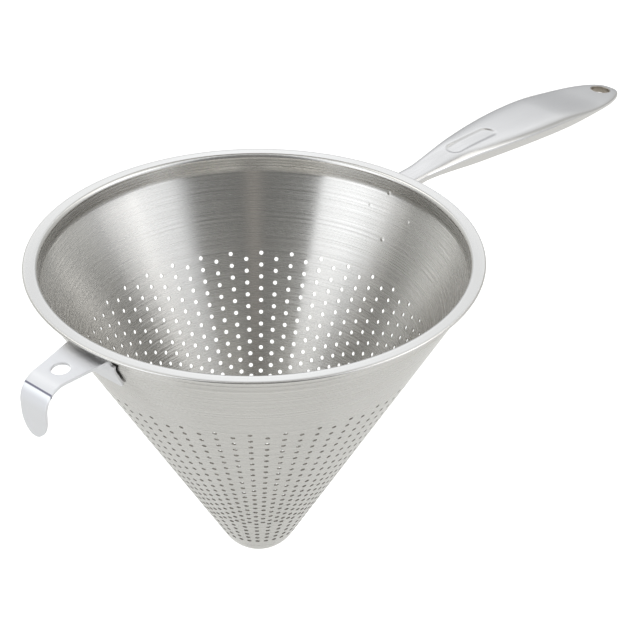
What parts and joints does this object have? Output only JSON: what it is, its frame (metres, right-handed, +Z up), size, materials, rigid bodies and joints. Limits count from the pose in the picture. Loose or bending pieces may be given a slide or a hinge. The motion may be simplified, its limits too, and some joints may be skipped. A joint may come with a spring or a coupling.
{
  "type": "soup strainer",
  "caption": "Conical perforated steel strainer with a hemmed rim, a pot hook and a hollow handle, for straining soup and sauce into a pot.",
  "frame": {"origin": "on the cone's axis in the plane of the rim's top", "axes": "+Z up along the cone's axis, away from its tip; +X along the handle; the pot hook points along -X"},
  "size_m": [0.3945, 0.2, 0.1577],
  "materials": {
    "cone_steel": "spun, satin",
    "hook_steel": "satin",
    "handle_steel": "satin",
    "sleeve_steel": "satin",
    "bracket_steel": "satin"
  },
  "bodies": {
    "root": {"strainer_cone": "cone_steel", "pot_hook": "hook_steel", "handle_upper_shell": "handle_steel", "handle_lower_shell": "handle_steel", "hanging_sleeve": "sleeve_steel", "handle_bracket": "bracket_steel"}
  },
  "joints": []
}
